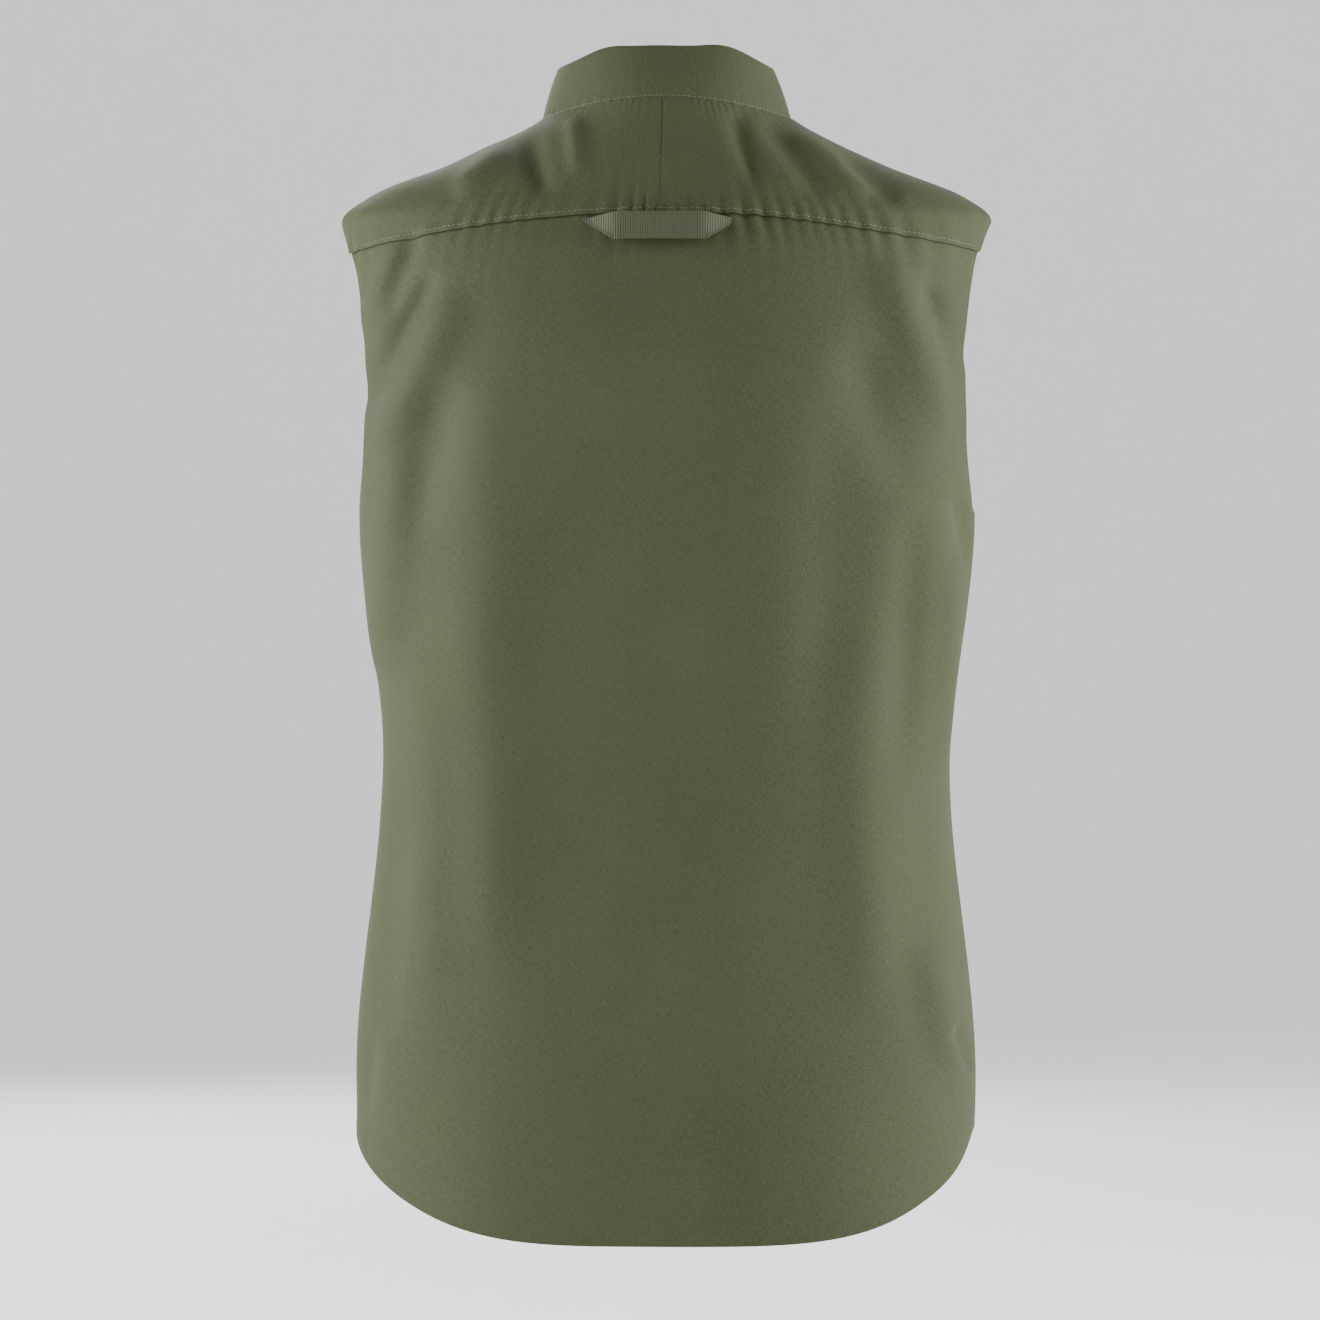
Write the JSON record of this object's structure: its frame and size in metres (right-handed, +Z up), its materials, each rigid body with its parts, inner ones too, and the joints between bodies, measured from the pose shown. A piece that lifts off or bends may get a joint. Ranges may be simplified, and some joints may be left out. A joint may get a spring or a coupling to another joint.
{
  "type": "fishing vest",
  "caption": "Sleeveless fishing vest with a stand collar, split shoulder yoke, webbing hang loop, separating front zip, flapped bellows pockets and a tool ring",
  "frame": {"origin": "the point midway between the wearer's shoulders, 45 mm below the nape seam, where the vest is carried", "axes": "+Z up the wearer's back, +X towards the wearer's left, -Y out of the chest; the zip runs down -Z"},
  "size_m": [0.3726, 0.2513, 0.6795],
  "materials": {
    "lining": "plain weave, matt",
    "shell": "plain weave, dry waxed",
    "snap_metal": "dark antique",
    "webbing": "ribbed webbing",
    "ring_metal": "dark antique",
    "zip_teeth": "moulded, satin",
    "zip_metal": "dark antique",
    "zip_tape": "woven tape"
  },
  "bodies": {
    "back": {"armhole_facing_left": "lining", "armhole_facing_right": "lining", "back_panel": "shell", "collar_back": "shell", "collar_lining_back": "lining", "hem_facing_back": "lining", "neck_loop": "webbing", "yoke_left": "shell", "yoke_lining": "lining", "yoke_right": "shell"},
    "hang_loop": {"hang_loop": "webbing"},
    "tool_ring": {"tool_ring": "ring_metal"},
    "zip_slider": {"zip_slider": "zip_metal"},
    "zip_pull": {"zip_pull": "zip_metal"},
    "front_left": {"armhole_facing_front_left": "lining", "chest_pocket_left": "shell", "chest_stud_left": "snap_metal", "collar_left": "shell", "collar_lining_left": "lining", "front_facing_left": "lining", "front_panel_left": "shell", "hem_facing_front_left": "lining", "lower_pocket_left": "shell", "lower_stud_left": "snap_metal", "tool_tab": "webbing", "zip_box": "zip_teeth", "zip_chain_left": "zip_teeth", "zip_stop_left": "zip_teeth", "zip_tape_left": "zip_tape"},
    "chest_flap_left": {"chest_flap_left": "shell", "chest_snap_left": "snap_metal"},
    "lower_flap_left": {"lower_flap_left": "shell", "lower_snap_left": "snap_metal"},
    "front_right": {"armhole_facing_front_right": "lining", "chest_pocket_right": "shell", "chest_stud_right": "snap_metal", "collar_lining_right": "lining", "collar_right": "shell", "front_facing_right": "lining", "front_panel_right": "shell", "hem_facing_front_right": "lining", "lower_pocket_right": "shell", "lower_stud_right": "snap_metal", "zip_chain_right": "zip_teeth", "zip_pin": "zip_teeth", "zip_stop_right": "zip_teeth", "zip_tape_right": "zip_tape"},
    "chest_flap_right": {"chest_flap_right": "shell", "chest_snap_right": "snap_metal"},
    "lower_flap_right": {"lower_flap_right": "shell", "lower_snap_right": "snap_metal"}
  },
  "joints": [
    {"name": "front_left_swing", "type": "hinge", "parent": "back", "child": "front_left", "pos_m": [0.118, -0.062, -0.005], "axis": [-0.0922, -0.0313, 0.9953], "range_deg": [0, 30]},
    {"name": "front_right_swing", "type": "hinge", "parent": "back", "child": "front_right", "pos_m": [-0.118, -0.062, -0.005], "axis": [-0.0922, 0.0313, -0.9953], "range_deg": [0, 30]},
    {"name": "hang_loop_lift", "type": "hinge", "parent": "back", "child": "hang_loop", "pos_m": [0, 0.0975, -0.0232], "axis": [1, 0, 0], "range_deg": [0, 40]},
    {"name": "chest_flap_left_lift", "type": "hinge", "parent": "front_left", "child": "chest_flap_left", "pos_m": [0.07741, -0.08898, -0.12283], "axis": [-0.9917, -0.1286, 0], "range_deg": [0, 100]},
    {"name": "lower_flap_left_lift", "type": "hinge", "parent": "front_left", "child": "lower_flap_left", "pos_m": [0.08996, -0.09435, -0.38785], "axis": [-0.9545, -0.2982, 0], "range_deg": [0, 110]},
    {"name": "chest_flap_right_lift", "type": "hinge", "parent": "front_right", "child": "chest_flap_right", "pos_m": [-0.07741, -0.08898, -0.12283], "axis": [-0.9917, 0.1286, 0], "range_deg": [0, 100]},
    {"name": "lower_flap_right_lift", "type": "hinge", "parent": "front_right", "child": "lower_flap_right", "pos_m": [-0.08996, -0.09435, -0.38785], "axis": [-0.9545, 0.2982, 0], "range_deg": [0, 110]},
    {"name": "tool_ring_swing", "type": "hinge", "parent": "front_left", "child": "tool_ring", "pos_m": [0.07158, -0.09004, -0.10161], "axis": [-0.9933, -0.1158, 0], "range_deg": [0, 120]},
    {"name": "zip_slide", "type": "slide", "parent": "front_left", "child": "zip_slider", "axis": [0, -0.0487, -0.9988], "range_m": [0, 0.579]},
    {"name": "zip_pull_swing", "type": "hinge", "parent": "zip_slider", "child": "zip_pull", "pos_m": [0, -0.0866, 0.00858], "axis": [-1, 0, 0], "range_deg": [0, 150]}
  ]
}
